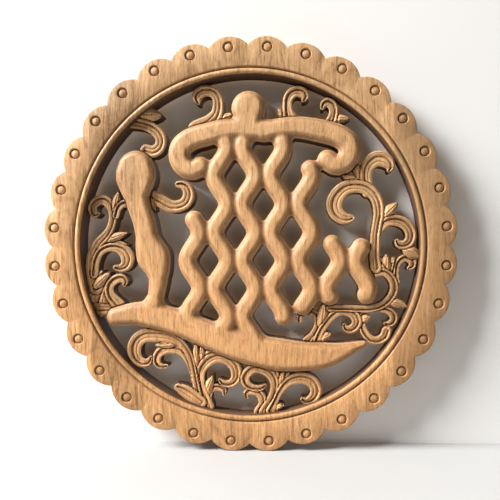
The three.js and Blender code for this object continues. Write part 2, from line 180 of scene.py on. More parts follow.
def scroll(*points):
    """A band along points of place, place and half-width, and which of its sides is the outer one: the
    sign of the sum of its turns."""
    path, half = through(points)
    run = np.diff(path, axis=0)
    turn = (run[:-1, 0] * run[1:, 1] - run[:-1, 1] * run[1:, 0]).sum()
    return "scroll", (path, half), 1 if turn > 0 else -1


def leaf(root, tip, half, bend=0.0):
    """A leaf from its root to its tip, in the form of scroll()."""
    return "leaf", leaf_path(root, tip, half, bend), 1


def scrolls():
    """Scrolls and leaves in the order in which one lies over the other."""
    return [
        # upper left
        scroll((-118, 62, 7), (-106, 54.5, 8), (-96, 49.5, 7.7), (-87, 49.5, 7.5), (-78, 54, 7.5),
               (-74, 63, 7.3), (-76, 71, 6.3), (-82, 75.5, 5), (-87, 76, 4)),
        leaf((-127, 61), (-115, 44), 6),
        leaf((-46, 150), (-10, 160.5), 7),
        scroll((-62, 141, 13), (-47, 150, 10.5), (-39, 160, 8), (-37, 170, 7), (-38, 179, 6.3),
               (-43, 186, 6.2), (-51, 188.3, 6.6), (-58.5, 186.5, 7), (-63, 181, 6.2),
               (-61.5, 174, 2.5)),
        leaf(on_rim(320.5), (-105, 159.5), 8.5),
        scroll((-150, 153, 8.5), (-137, 150.5, 6.8), (-125, 147.5, 6.6), (-114, 141, 6.8),
               (-107.5, 132, 7), (-109, 121.5, 7.2), (-117, 116, 7.5), (-126, 118, 7)),
        # left
        leaf((-184, -82), (-175, -38), 7),
        leaf((-198, -72), (-181, -28), 10, 0.05),
        scroll((-194, -75.5, 7.5), (-180, -76.5, 7.2), (-166, -77.5, 7)),
        leaf((-178, 2), (-149, 3), 6.5),
        leaf((-178, 8), (-149, 17.5), 5.5),
        scroll((-190, -50, 9), (-194, -35, 8), (-195, -20, 7.5), (-192, -6, 7), (-185.5, 5, 6.5),
               (-178.5, 12, 6), (-172, 21, 5.2), (-168.3, 32, 5), (-168, 42, 5.2), (-171, 51, 5.6),
               (-178, 57.3, 6), (-186, 57, 6), (-192, 51, 5.6), (-192.5, 44.5, 5.2),
               (-190, 40, 4.2), (-186, 40.5, 2.2)),
        leaf((-165, 46), (-160, 68), 5.5),
        scroll((-164, 38, 4), (-160.5, 48, 4.3), (-154, 53, 4.6), (-146, 52, 4.5)),
        scroll((-192, -34, 5), (-190, -18, 5), (-184, -6, 4.8), (-174, -0.5, 5), (-163, -0.8, 6),
               (-154, -6, 8), (-150.2, -14, 8.7), (-152.5, -22.5, 7), (-159, -26, 5),
               (-165, -25, 3.5)),
        leaf((-190, -48), (-171.5, -30.5), 6.5),
        scroll((-162, -72, 8), (-173, -58, 6), (-173, -47.5, 5.5), (-166, -40, 5.6),
               (-158, -38.3, 5.4), (-153.5, -42.5, 4), (-155, -47, 2)),
        # lower left
        scroll((-53, -198, 6), (-53, -187, 5), (-51, -178.5, 4.8), (-45, -173.5, 4.5),
               (-38, -173.5, 4), (-33, -177, 3.3), (-32.5, -182, 2)),
        leaf((-57, -184), (-46, -158), 6.5),
        leaf((-62, -140), (-26, -125), 5.5, 0.12),
        leaf((-66, -162), (-57, -114), 6.5),
        leaf((-69, -168), (-66, -112), 6),
        scroll((-53, -198, 8), (-58, -183, 6.5), (-62, -168, 5.5), (-61.5, -154, 6), (-55, -143, 7),
               (-46.5, -137, 7.4), (-36, -135.5, 7.5), (-26, -139.5, 7.3), (-18.8, -148, 7.2),
               (-16.8, -158, 7), (-20.5, -166, 5.6), (-27.5, -169, 4.6), (-34, -167.5, 3.8),
               (-37.5, -164, 2)),
        scroll((-62, -194, 6), (-66, -176, 5), (-69, -160, 5), (-72.5, -148, 5), (-77, -138, 5),
               (-83.5, -130.5, 5), (-92, -126, 5.4), (-100, -125, 6.2), (-108, -127, 6.2),
               (-114, -132.5, 5.4), (-116.3, -139.5, 5.2), (-114, -145, 4.3), (-108.5, -147.5, 3.3),
               (-103.5, -146.5, 2)),
        leaf((-93, -119), (-118, -121), 5.5),
        scroll((-64, -190, 6), (-68, -165, 4), (-71, -148, 4), (-75, -134, 4.5), (-83, -121.5, 5),
               (-93, -113.5, 6.5), (-105, -109.5, 8.6), (-118, -108.3, 8.8), (-130, -109, 8.8),
               (-138.5, -114, 8.6), (-143, -121.5, 8.6), (-143.5, -130.5, 8.2), (-140, -138.5, 7),
               (-133.5, -143, 6), (-126.5, -142, 4.7), (-123, -136.5, 2.5)),
        scroll((-62, -192, 8), (-73, -183.5, 8.5), (-82, -177.5, 7.5), (-89.5, -173.5, 5)),
        # lower middle
        scroll((12, -204, 8), (15, -194, 5.5), (14, -185, 5.3), (8, -179, 5), (0, -177.5, 4.5),
               (-5, -180.5, 3.8), (-4.5, -186, 2)),
        leaf((34, -174), (33, -148), 4.5),
        leaf((39, -178), (48.5, -150.5), 5),
        leaf((35, -184), (41, -149), 5.5),
        scroll((18, -204, 8), (24.5, -190, 5.5), (29, -178, 5), (30, -168, 5.5), (26, -158, 6),
               (17, -151.3, 6.2), (7, -149.3, 6), (-2, -153.5, 5.9), (-6.8, -162, 5.8),
               (-4, -169.5, 5), (4, -173.8, 4.2), (12.5, -174, 3.8), (18, -170.5, 2)),
        leaf((23, -199), (42, -195), 5.5),
        scroll((25, -202, 6), (31, -189, 4), (36.5, -178, 4.5), (43.5, -168.8, 5.5),
               (52, -163.2, 6.6), (62, -161.3, 7.2), (72, -163.5, 7.3), (79, -170, 7.4),
               (81, -178.5, 7.4), (77, -186.5, 6.5), (69.5, -190, 4.5), (64, -187.5, 2.5)),
        # lower right
        leaf((82, -113), (99.5, -107), 6.5),
        scroll((70, -116, 6), (77, -108, 4.6), (82.3, -99, 4.6), (83.5, -90, 4.7), (79.5, -82.5, 4.2),
               (72, -79.5, 4), (65, -81.3, 4), (61, -86, 4), (60.5, -91, 3.5)),
        leaf((88, -98), (91, -67), 7.5),
        scroll((150, -76, 4), (161, -76.5, 3.5), (169.5, -79, 4.3), (175.3, -85, 5),
               (174.5, -91.5, 4.8), (169.5, -94.7, 3.6), (165, -94, 2)),
        scroll((131, -80, 4), (134.5, -89, 4.5), (137, -98, 4.6), (141.5, -107, 4.6),
               (148.5, -113.7, 5), (157, -114.6, 5.3), (164.5, -110, 6), (167, -103.5, 6.2)),
        leaf((136, -90), (147.5, -85), 5),
        scroll((82, -115, 5), (87, -103, 4.5), (94, -92.5, 4.5), (102, -84, 5), (111.5, -79, 5.2),
               (121, -79.5, 6), (128, -84.2, 6.3), (131, -91.5, 6.4), (128, -98.5, 5.8),
               (122, -101.5, 5), (117, -99.8, 3.8), (115.2, -95.5, 2)),
        leaf((170, -66), on_rim(111), 5.5),
        leaf((163, -28), (157.5, -12.5), 5),
        leaf((170, -28), (175.5, -12.5), 5.5),
        leaf((166, -30), (166, -9.5), 6.5),
        leaf((162, -27), (147, -19.5), 5.5),
        scroll((178, -44, 4.5), (178, -32, 3.2), (179.5, -22.5, 3.6), (184.3, -15.8, 4.2),
               (191, -14.3, 5), (197.3, -18.3, 5.2), (197.3, -24, 4), (193.5, -26.5, 2.5)),
        scroll((97, -75, 4), (120, -75.5, 4.3), (140, -76.4, 4.3), (152, -75, 4.5), (162, -71, 4.6),
               (170.5, -63.5, 4.8), (175.5, -54, 5.2), (175, -44, 5.2), (169.5, -35.5, 5),
               (161, -31, 4.8), (153, -33, 4.6), (148.5, -38.5, 4.4), (148.5, -43.5, 3)),
        # right
        leaf((190, -4), on_rim(94), 8),
        leaf((140, 76), (111, 86), 7.5),
        leaf((141, 80), (126, 100), 8),
        leaf((160, 33), (179.5, 52.5), 8),
        scroll((143, 66, 7), (141.5, 79, 7.2), (141.3, 90, 7.8), (145.5, 99.5, 8.8),
               (154, 105.5, 9.5), (162.5, 104.5, 9.3), (169, 99.5, 7), (170.3, 94.5, 4.5),
               (168.5, 90.5, 2)),
        scroll((152, -2, 5), (153.3, 9, 5.3), (155.5, 17, 5.5), (160, 24.5, 5.6), (167, 29.8, 6),
               (176, 31.2, 6.6), (186, 28.5, 7), (193.5, 21.5, 7), (196, 12, 6.8), (193, 4.5, 6.3),
               (187, 1.5, 5.5), (181.5, 2.5, 4.8), (178.8, 6, 3)),
        scroll((154, -26, 7), (152, -12, 6.3), (152.5, 2, 6.2), (153, 14, 6), (155, 27, 6),
               (157, 39, 6.5), (156.2, 50, 6.8), (151.7, 61, 7), (143, 69, 7.4), (130, 72.6, 7.8),
               (117, 70.5, 8.6), (107.5, 62.5, 9.4), (103, 52, 10), (105.5, 41, 9),
               (112.5, 34.8, 8), (119, 33.3, 6.5), (123.5, 34, 4.5)),
        # upper right
        leaf((46, 155), (34.5, 166), 5.5),
        scroll((51, 149, 11), (47.5, 160.5, 7), (46.3, 170, 5.6), (47.5, 178, 6), (51.5, 184, 6.4),
               (58.5, 186.5, 6.6), (65, 184.5, 6.4), (68, 179.5, 4.6), (65.5, 175.5, 2.2)),
        leaf((101, 154), (122, 153), 5.5),
        scroll((98, 146, 8), (101.5, 156, 6), (102.5, 164, 5.8), (100, 170, 5.8), (94.5, 173, 5.4),
               (90, 170.5, 4.2), (88.5, 166, 2.2)),
    ]


# Fields: how deep a point lies inside a shape, and how high the wood stands there

def field(path, half, points):
    """Depth inside the shape, max over the path of half-width less distance; and at the nearest place of
    the path the signed distance (right of its heading is positive), the half-width and the run."""
    away = points[:, None, :] - path[None, :, :]
    distance = np.hypot(away[..., 0], away[..., 1])
    depth = (half - distance).max(1)
    near = distance.argmin(1)
    row = np.arange(len(points))
    heading = np.gradient(path, axis=0)[near]
    offset = away[row, near]
    side = np.sign(heading[:, 1] * offset[:, 0] - heading[:, 0] * offset[:, 1])
    return depth, side * distance[row, near], half[near], near * PATH_STEP


def window(path, half, x, z, margin):
    """The part of the grid round a path, as two slices."""
    low = path.min(0) - half.max() - margin
    high = path.max(0) + half.max() + margin
    columns = slice(np.searchsorted(x, low[0]), np.searchsorted(x, high[0]))
    rows = slice(np.searchsorted(z, low[1]), np.searchsorted(z, high[1]))
    return rows, columns


def smooth_max(a, b, k):
    """Larger of two fields, with the crease between them filled by k h^2 / 4, h = max(0, 1 - |a-b|/k)."""
    return np.maximum(a, b) + k / 4 * np.clip(1 - np.abs(a - b) / k, 0, 1) ** 2


def stroke_field(shapes, x, z):
    """The bold strokes as one depth field, flowing into each other where they meet."""
    depth = np.full((len(z), len(x)), -30.0)
    for path, half in shapes:
        rows, columns = window(path, half, x, z, BLEND)
        grid = np.stack(np.meshgrid(x[columns], z[rows]), -1)
        one = field(path, half, grid.reshape(-1, 2))[0]
        depth[rows, columns] = smooth_max(depth[rows, columns], one.reshape(grid.shape[:2]), BLEND)
    return depth


def stroke_height(depth, top, drop, shoulder):
    """A pillow: the crest less drop (1 - depth / shoulder)^2.1 within the shoulder's width."""
    return top - drop * (1 - np.clip(depth / shoulder, 0, 1)) ** 2.1


def bump(offset, width):
    """exp(-(offset / width)^2), the section of a cut or a ridge."""
    return np.exp(-(offset / width) ** 2)


def scroll_height(top, side, half):
    """Across a scroll: a raised round outer edge, a cut line beside it, a hollow inner band and on wide
    ones finer lines on both sides of the cut. The share u goes from -1 inside to 1 outside."""
    u = np.clip(side / half, -1, 1)
    rise = top * np.interp(u, [-1, -0.85, -0.45, 0.1, 0.3, 0.55, 0.78, 1],
                           [0.87, 0.93, 0.93, 0.885, 0.90, 0.985, 0.985, 0.89])
    rise -= 1.5 * bump((u - 0.24) * half, 0.8)
    fine = np.clip((half - 5.4) / 1.2, 0, 1)
    rise -= 1.1 * fine * bump((u + 0.36) * half, 0.7)
    return rise - 0.6 * np.clip((half - 7.2) / 1.2, 0, 1) * bump((u - 0.68) * half, 0.6)


def leaf_height(top, side, half, run):
    """Across a leaf: two cheeks that rise to the middle, a cut vein between them and slanting side veins."""
    u = np.clip(np.abs(side) / half, 0, 1)
    rise = top * np.interp(u, [0, 0.25, 0.6, 0.85, 1], [1.0, 0.985, 0.92, 0.86, 0.80])
    rise -= 1.5 * bump(side, 0.75)
    phase = (run - 1.3 * np.abs(side)) / 5.5
    vein = bump((phase - np.round(phase)) * 5.5, 0.7) * np.clip((np.abs(side) - 1.2) / 1.5, 0, 1)
    return rise - 0.45 * vein * (u < 0.9)


def scroll_fields(shapes, x, z, scroll_top, leaf_top):
    """Depth and height of the scrolls and leaves. Each lies over the ones before it, and a cut along
    its edge sets it off from them."""
    depth = np.full((len(z), len(x)), -30.0)
    height = np.zeros_like(depth)
    for kind, (path, half), outer in shapes:
        rows, columns = window(path, half, x, z, 2 * CUT_WIDTH)
        grid = np.stack(np.meshgrid(x[columns], z[rows]), -1)
        one, side, wide, run = field(path, half, grid.reshape(-1, 2))
        if kind == "scroll":
            rise = scroll_height(scroll_top, outer * side, wide)
        else:
            rise = leaf_height(leaf_top, side, wide, run)
        one, rise = one.reshape(grid.shape[:2]), rise.reshape(grid.shape[:2])
        below, under = height[rows, columns], depth[rows, columns]
        cut = CUT_DEPTH * np.clip(1 + one / CUT_WIDTH, 0, 1) * (one < 0)
        below = np.where(under > 0, below - cut, below)
        height[rows, columns] = np.where((one > 0) | (one > under), rise, below)
        depth[rows, columns] = np.maximum(under, one)
    return depth, height


def blurred(values, reach):
    """Box mean over (2 reach + 1) squared points, from a table of running sums."""
    padded = np.pad(values, reach + 1, mode="edge")
    table = padded.cumsum(0).cumsum(1)
    n = 2 * reach + 1
    total = table[n:, n:] - table[:-n, n:] - table[n:, :-n] + table[:-n, :-n]
    return total[:values.shape[0], :values.shape[1]] / n ** 2


# Meshes

# For each pattern of corners in the wood (bits 1, 2, 4, 8, anticlockwise from the lower left) the
# triangles of the cell, as corners 0-3 and edge crossings 4-7, and the pairs that lie on the outline.
CELLS = {
    1: ([(0, 4, 7)], [(4, 7)]), 2: ([(1, 5, 4)], [(5, 4)]), 4: ([(2, 6, 5)], [(6, 5)]),
    8: ([(3, 7, 6)], [(7, 6)]), 3: ([(0, 1, 5), (0, 5, 7)], [(5, 7)]),
    6: ([(1, 2, 6), (1, 6, 4)], [(6, 4)]), 12: ([(2, 3, 7), (2, 7, 5)], [(7, 5)]),
    9: ([(3, 0, 4), (3, 4, 6)], [(4, 6)]), 5: ([(0, 4, 7), (2, 6, 5)], [(4, 7), (6, 5)]),
    10: ([(1, 5, 4), (3, 7, 6)], [(5, 4), (7, 6)]),
    7: ([(0, 1, 2), (0, 2, 6), (0, 6, 7)], [(6, 7)]), 14: ([(1, 2, 3), (1, 3, 7), (1, 7, 4)], [(7, 4)]),
    13: ([(2, 3, 0), (2, 0, 4), (2, 4, 5)], [(4, 5)]), 11: ([(3, 0, 1), (3, 1, 5), (3, 5, 6)], [(5, 6)]),
    15: ([(0, 1, 2), (0, 2, 3)], []),
}


def relief_mesh(x, z, depth, height):
    """Closed solid of the wood where depth is over 0: marching squares finds the outline at depth 0 by
    straight interpolation, the front stands at the height field, the back is flat and the walls are
    square to it. Returns vertices in millimetres and triangles."""
    rows, columns = depth.shape
    inside = depth > 0
    places, heights, numbers = [], [], []
    count = 0

    def add(mask, px, pz, ph):
        nonlocal count
        index = np.full(mask.shape, -1)
        index[mask] = count + np.arange(mask.sum())
        count += int(mask.sum())
        places.append(np.c_[px[mask], pz[mask]])
        heights.append(ph[mask])
        numbers.append(index)

    gx, gz = np.meshgrid(x, z)
    add(inside, gx, gz, height)
    for axis in (1, 0):
        first = (slice(None), slice(None, -1)) if axis else (slice(None, -1), slice(None))
        second = (slice(None), slice(1, None)) if axis else (slice(1, None), slice(None))
        crossed = inside[first] != inside[second]
        t = np.zeros(crossed.shape)
        a, b = depth[first][crossed], depth[second][crossed]
        t[crossed] = np.clip(a / (a - b), CROSSING_ROOM, 1 - CROSSING_ROOM)
        edge_height = np.where(inside[first], height[first], height[second])
        add(crossed, gx[first] + t * (gx[second] - gx[first]), gz[first] + t * (gz[second] - gz[first]),
            edge_height)
    corner, across, up = numbers
    cell = np.stack([
        corner[:-1, :-1], corner[:-1, 1:], corner[1:, 1:], corner[1:, :-1],
        across[:-1, :], up[:, 1:], across[1:, :], up[:, :-1]], -1).reshape(-1, 8)
    inside = inside.astype(int)
    pattern = (inside[:-1, :-1] + 2 * inside[:-1, 1:] + 4 * inside[1:, 1:] + 8 * inside[1:, :-1]).ravel()
    front, outline = [], []
    for code, (triangles, pairs) in CELLS.items():
        chosen = cell[pattern == code]
        front.append(chosen[:, triangles].reshape(-1, 3))
        if pairs:
            outline.append(chosen[:, pairs].reshape(-1, 2))
    front, outline = np.vstack(front), np.vstack(outline)
    place, stand = np.vstack(places), np.concatenate(heights)
    vertices = np.vstack([
        np.c_[place[:, 0], -stand, place[:, 1]], np.c_[place[:, 0], np.zeros(count), place[:, 1]]])
    a, b = outline.T
    walls = np.vstack([np.c_[b, a, a + count], np.c_[b, a + count, b + count]])
    return vertices, np.vstack([front, front[:, ::-1] + count, walls])


def scallop_ring(sizes, inset, height, steps):
    """Ring of points on the outline drawn in by inset: arcs of one radius about centres on a circle,
    each spanning asin(R sin(pitch/2) / r) + pitch/2 to both sides of its middle."""
    pitch = 2 * math.pi / sizes.scallops
    centre = sizes.diameter / 2 - sizes.scallop_radius
    radius = sizes.scallop_radius - sizes.edge_inset - inset
    spread = math.asin(centre * math.sin(pitch / 2) / radius) + pitch / 2
    k, i = np.meshgrid(np.arange(sizes.scallops), np.arange(steps), indexing="ij")
    middle = (k + 0.5) * pitch + math.pi / 2
    angle = middle - spread + 2 * spread * i / steps
    ring_x = centre * np.cos(middle) + radius * np.cos(angle)
    ring_z = centre * np.sin(middle) + radius * np.sin(angle)
    return np.c_[ring_x.ravel(), np.full(ring_x.size, -height), ring_z.ravel()]


def circle_ring(sizes, radius, height, steps):
    angle = np.linspace(0, 2 * math.pi, sizes.scallops * steps, endpoint=False) + math.pi / 2
    return np.c_[radius * np.cos(angle), np.full(angle.size, -height), radius * np.sin(angle)]


def closed_tube(rings):
    """Quads between each ring and the next, and from the last back to the first."""
    n, m = len(rings), len(rings[0])
    ring, place = np.meshgrid(np.arange(n), np.arange(m), indexing="ij")
    after, beside = (ring + 1) % n, (place + 1) % m
    quads = np.stack([ring * m + place, ring * m + beside, after * m + beside, after * m + place], -1)
    return np.vstack(rings), quads.reshape(-1, 4)


def rim_mesh(sizes, steps=24):
    """The rim as rings from the back edge over the eased front edge, the flat face, the V-groove and
    the half-round bead, whose section is r = middle + width/2 cos(a), h = foot + rise sin(a)."""
    top, soft = sizes.thickness, sizes.edge_round
    rings = [scallop_ring(sizes, soft / 2, 0, steps), scallop_ring(sizes, 0, soft / 2, steps)]
    for a in np.linspace(0, math.pi / 2, 4):
        rings.append(scallop_ring(sizes, soft * (1 - math.cos(a)), top - soft * (1 - math.sin(a)), steps))
    bead_outer = sizes.opening_radius + sizes.bead_width
    rings.append(circle_ring(sizes, bead_outer + sizes.groove_width + 0.5, top, steps))
    rings.append(circle_ring(sizes, bead_outer + sizes.groove_width, top - 0.2, steps))
    rings.append(circle_ring(sizes, bead_outer + 0.35, top - sizes.bead_drop, steps))
    for a in np.linspace(0.12, math.pi, 10):
        rings.append(circle_ring(
            sizes, bead_outer - sizes.bead_width / 2 * (1 - math.cos(a)),
            top - sizes.bead_drop * (1 - math.sin(a)), steps))
    rings.append(circle_ring(sizes, sizes.opening_radius, soft / 2, steps))
    rings.append(circle_ring(sizes, sizes.opening_radius + soft / 2, 0, steps))
    return closed_tube(rings)


def stud_cutters(sizes, steps=32):
    """One turned cutter for each scallop: it leaves a dome h = top - depth (1 - sqrt(1 - (r/R)^2)) and
    a groove round it that rises to the face."""
    top, above, deep = sizes.thickness, sizes.thickness + 2, sizes.stud_groove_depth
    r = sizes.stud_radius * np.sin(np.linspace(0.12, math.pi / 2, 7))
    dome = top - 0.1 - deep * (1 - np.sqrt(np.clip(1 - (r / sizes.stud_radius) ** 2, 0, 1)))
    outer = sizes.stud_groove_radius
    profile = [*zip(r, dome), (sizes.stud_radius + 0.4, top - deep), (outer - 0.5, top - 0.35 * deep),
               (outer, top), (outer, above), (r[0], above)]
    angle = np.linspace(0, 2 * math.pi, steps, endpoint=False)
    rings = [np.c_[q * np.cos(angle), np.full(steps, -h), q * np.sin(angle)] for q, h in profile]
    vertices = np.vstack(rings)
    n = len(rings)
    ring, place = np.meshgrid(np.arange(n - 1), np.arange(steps), indexing="ij")
    beside = (place + 1) % steps
    quads = np.stack([
        ring * steps + place, (ring + 1) * steps + place, (ring + 1) * steps + beside,
        ring * steps + beside], -1).reshape(-1, 4)
    low_cap = np.arange(steps)
    high_cap = (n - 1) * steps + np.arange(steps)[::-1]
    middle = (np.arange(sizes.scallops) + 0.5) * 2 * math.pi / sizes.scallops + math.pi / 2
    shift = np.c_[np.cos(middle), np.zeros(sizes.scallops), np.sin(middle)] * sizes.stud_circle
    every = (vertices[None] + shift[:, None]).reshape(-1, 3)
    faces = []
    for k in range(sizes.scallops):
        base = k * len(vertices)
        faces += (quads + base).tolist() + [(low_cap + base).tolist(), (high_cap + base).tolist()]
    return every, faces


def mesh_object(name, vertices, faces):
    mesh = bpy.data.meshes.new(name)
    faces = faces if isinstance(faces, list) else faces.tolist()
    mesh.from_pydata((np.asarray(vertices) * MM).tolist(), [], faces)
    mesh.validate()
    mesh.update()
    made = bpy.data.objects.new(name, mesh)
    bpy.context.scene.collection.objects.link(made)
    return made


def facing_out(made):
    """Turns every face round if the solid's signed volume, the sum of a . (b x c) / 6, is negative."""
    mesh = made.data
    mesh.calc_loop_triangles()
    corners = np.empty(len(mesh.loop_triangles) * 3, np.int32)
    mesh.loop_triangles.foreach_get("vertices", corners)
    at = np.empty(len(mesh.vertices) * 3)
    mesh.vertices.foreach_get("co", at)
    a, b, c = at.reshape(-1, 3)[corners.reshape(-1, 3)].transpose(1, 0, 2)
    if np.einsum("ij,ij->i", a, np.cross(b, c)).sum() < 0:
        mesh.flip_normals()
    return made


def apply_modifier(made, kind, **settings):
    """Gives the object a modifier and applies it to its mesh."""
    modifier = made.modifiers.new(kind, kind)
    for name, value in settings.items():
        setattr(modifier, name, value)
    graph = bpy.context.evaluated_depsgraph_get()
    mesh = bpy.data.meshes.new_from_object(made.evaluated_get(graph))
    made.modifiers.clear()
    old, made.data = made.data, mesh
    bpy.data.meshes.remove(old)


def combine(made, other, operation):
    """Changes the object by a boolean with another, which is then removed."""
    apply_modifier(made, "BOOLEAN", object=other, operation=operation, solver="MANIFOLD")
    mesh = other.data
    bpy.data.objects.remove(other)
    bpy.data.meshes.remove(mesh)


def bilinear(grid, x, z, px, pz):
    """Values of a grid at points, by straight interpolation along both axes."""
    step = x[1] - x[0]
    u = np.clip((px - x[0]) / step, 0, len(x) - 1.001)
    v = np.clip((pz - z[0]) / step, 0, len(z) - 1.001)
    i, j = v.astype(int), u.astype(int)
    fv, fu = v - i, u - j
    low = grid[i, j] * (1 - fu) + grid[i, j + 1] * fu
    high = grid[i + 1, j] * (1 - fu) + grid[i + 1, j + 1] * fu
    return low * (1 - fv) + high * fv


def shade_attributes(made, sizes, x, z, bold, depth, height):
    """Where the wood is darker or paler, from 0 to 1. For each point: recess is how far it lies below the
    mean height round it, stain and painted shade in cuts and grooves; crest how far above; and edge how
    near it is to its stroke's or scroll's side, a burnt finish and painted shade along the edges. For each
    face's corners: wall, on the sides of the openings, mostly painted shade."""
    mesh = made.data
    at = np.empty(len(mesh.vertices) * 3)
    mesh.vertices.foreach_get("co", at)
    at = at.reshape(-1, 3) / MM
    normal = np.empty(len(mesh.vertices) * 3)
    mesh.vertex_normals.foreach_get("vector", normal)
    front = -normal.reshape(-1, 3)[:, 1] > 0.25
    stand = -at[:, 1]
    near = bilinear(blurred(height, 2), x, z, at[:, 0], at[:, 2])
    wide = bilinear(blurred(height, 5), x, z, at[:, 0], at[:, 2])
    inward = bilinear(depth, x, z, at[:, 0], at[:, 2])
    in_stroke = bilinear(bold, x, z, at[:, 0], at[:, 2])
    # darker along the edges of strokes and scrolls: partly a burnt finish, partly painted shade that holds
    # down the lit edges
    burnt_and_shaded = np.where(in_stroke > 0, np.clip(1 - in_stroke / sizes.stroke_burn_and_shade, 0, 1) ** 1.3,
                       0.7 * np.clip(1 - inward / sizes.scroll_burn_and_shade, 0, 1) ** 1.5)
    radius = np.hypot(at[:, 0], at[:, 2])
    openwork = radius < sizes.opening_radius - 0.5
    # stain and painted shade: cuts in the openwork darken by how far they lie below the mean height round
    # them, and the rim's grooves and stud rings by their depth under the face
    sunk = np.clip((near - stand) / 1.1, 0, 1) * 0.7 + np.clip((wide - stand) / 3.5, 0, 1) * 0.3
    by_stud = radius > sizes.stud_circle - 2 * sizes.stud_groove_radius
    groove = np.clip((sizes.thickness - 0.4 - stand) / 1.8, 0, 1) * np.where(by_stud, 0.75, 1)
    by_point = {
        "recess_stain_and_shade": np.where(openwork, sunk, groove) * front,
        "crest": openwork * front * np.clip((stand - near) / 1.2, 0, 1),
        "edge": openwork * front * burnt_and_shaded,
    }
    for name, values in by_point.items():
        mesh.attributes.new(name, "FLOAT", "POINT").data.foreach_set("value", values.astype(np.float32))
    count = len(mesh.polygons)
    facing, first, corners = np.empty(count * 3), np.empty(count, np.int32), np.empty(count, np.int32)
    mesh.polygon_normals.foreach_get("vector", facing)
    mesh.polygons.foreach_get("loop_total", corners)
    mesh.polygons.foreach_get("loop_start", first)
    points = np.empty(len(mesh.loops), np.int32)
    mesh.loops.foreach_get("vertex_index", points)
    # mostly painted shade: the pierced sides are coloured near-black, darker than their brown wood, and a
    # little less so near the front
    side = np.abs(facing.reshape(-1, 3)[:, 1]) < 0.5
    side &= radius[points[first]] < sizes.opening_radius + 0.6
    wall = np.repeat(side, corners) * (1 - 0.12 * np.clip(stand[points] / 20, 0, 1) ** 3)
    mesh.attributes.new("wall", "FLOAT", "CORNER").data.foreach_set("value", wall.astype(np.float32))


def build_panel(sizes):
    """Rim, strokes and scrolls as one solid, in the frame of the CAD node that it replaces."""
    step = sizes.grid_step
    reach = sizes.opening_radius + 4
    x = np.arange(-reach, reach + step, step)
    z = x.copy()
    bold = stroke_field(strokes(sizes), x, z)
    fine, fine_height = scroll_fields(scrolls(), x, z, sizes.scroll_top, sizes.leaf_top)
    pillow = stroke_height(bold, sizes.stroke_top, sizes.stroke_drop, sizes.stroke_shoulder)
    near_bold = np.clip(1 + bold / CUT_WIDTH, 0, 1) * (bold < 0)
    height = np.where((bold > 0) | (bold > fine), pillow, fine_height - CUT_DEPTH * near_bold)
    depth = np.maximum(bold, fine)
    gx, gz = np.meshgrid(x, z)
    depth = np.minimum(depth, sizes.opening_radius + RIM_OVERLAP - np.hypot(gx, gz))
    vertices, triangles = relief_mesh(x, z, depth, height)
    openwork = facing_out(mesh_object("openwork", vertices, triangles))
    share = min(1.0, sizes.openwork_triangles / len(triangles))
    apply_modifier(openwork, "DECIMATE", ratio=share)
    panel = facing_out(mesh_object("carved_surface", *rim_mesh(sizes)))
    cutters = facing_out(mesh_object("cutters", *stud_cutters(sizes)))
    combine(panel, cutters, "DIFFERENCE")
    combine(panel, openwork, "UNION")
    panel.data.set_sharp_from_angle(angle=sizes.sharp_angle)
    shade_attributes(panel, sizes, x, z, bold, depth, np.where(depth > 0, height, 0.0))
    return panel


# Wood

def both_ways(operation):
    """The two methods of an operator: the socket with the other value, and the other value with it."""
    return (lambda self, other: self.math(operation, self, other),
            lambda self, other: self.math(operation, other, self))


class Shade:
    """One socket of a material's nodes. Python's operators on it add Math nodes."""

    def __init__(self, tree, socket=None):
        self.tree, self.socket = tree, socket

    def add(self, kind, settings=None, values=None, output=0):
        """A new node of the kind: its settings first, then the values or links of its sockets."""
        node = self.tree.nodes.new("ShaderNode" + kind)
        for name, value in (settings or {}).items():
            setattr(node, name, value)
        for name, value in (values or {}).items():
            if isinstance(value, Shade):
                self.tree.links.new(value.socket, node.inputs[name])
            else:
                node.inputs[name].default_value = value
        return Shade(self.tree, node.outputs[output] if len(node.outputs) else None)

    def math(self, operation, *values):
        return self.add("Math", {"operation": operation}, dict(enumerate(values)))

    __add__, __radd__ = both_ways("ADD")
    __sub__, __rsub__ = both_ways("SUBTRACT")
    __mul__, __rmul__ = both_ways("MULTIPLY")
    __truediv__, __rtruediv__ = both_ways("DIVIDE")
    __pow__, __rpow__ = both_ways("POWER")

    def above(self, other):
        return self.math("GREATER_THAN", self, other)

    def sine(self):
        return self.math("SINE", self)

    def clamped(self):
        return self.add("Clamp", None, {0: self})

    def ramp(self, low, high):
        """0 at low, 1 at high, eased between."""
        return self.add("MapRange", {"interpolation_type": "SMOOTHSTEP"},
                        {"Value": self, "From Min": low, "From Max": high})

    def mix(self, first, second):
        """The colour this share of the way from the first to the second."""
        first, second = (c if isinstance(c, Shade) else (*c, 1.0) for c in (first, second))
        return self.add("Mix", {"data_type": "RGBA"}, {0: self, 6: first, 7: second}, 2)

    def scaled(self, factor):
        return self.add("VectorMath", {"operation": "SCALE"}, {0: self, "Scale": factor})

    def times(self, tint):
        return self.add("VectorMath", {"operation": "MULTIPLY"}, {0: self, 1: tint})


def by_board(x, joints, values):
    """One value for each board, switched at the joints between them."""
    total = values[0]
    for place, before, after in zip(joints, values, values[1:]):
        total = total + x.above(place) * (after - before)
    return total


def growth_rings(x, z, waver, joints):
    """Flat-sawn figure. Each board is a slice beside the heart of its log: at (x, z) the ring's radius is
    r = hypot(x - centre, depth + slope z), and late wood is the narrow crest of a wave in r."""
    centre = by_board(x, joints, [-222.0, -120.0, -30.0, 112.0, 224.0])
    depth = by_board(x, joints, [16.0, 64.0, 70.0, 48.0, -12.0])
    slope = by_board(x, joints, [0.16, 0.1, -0.13, 0.2, -0.17])
    radius = ((x - centre) ** 2 + (depth + slope * z) ** 2) ** 0.5 + waver
    return ((radius * (2 * math.pi / 6.2)).sine() * 0.5 + 0.5) ** 3


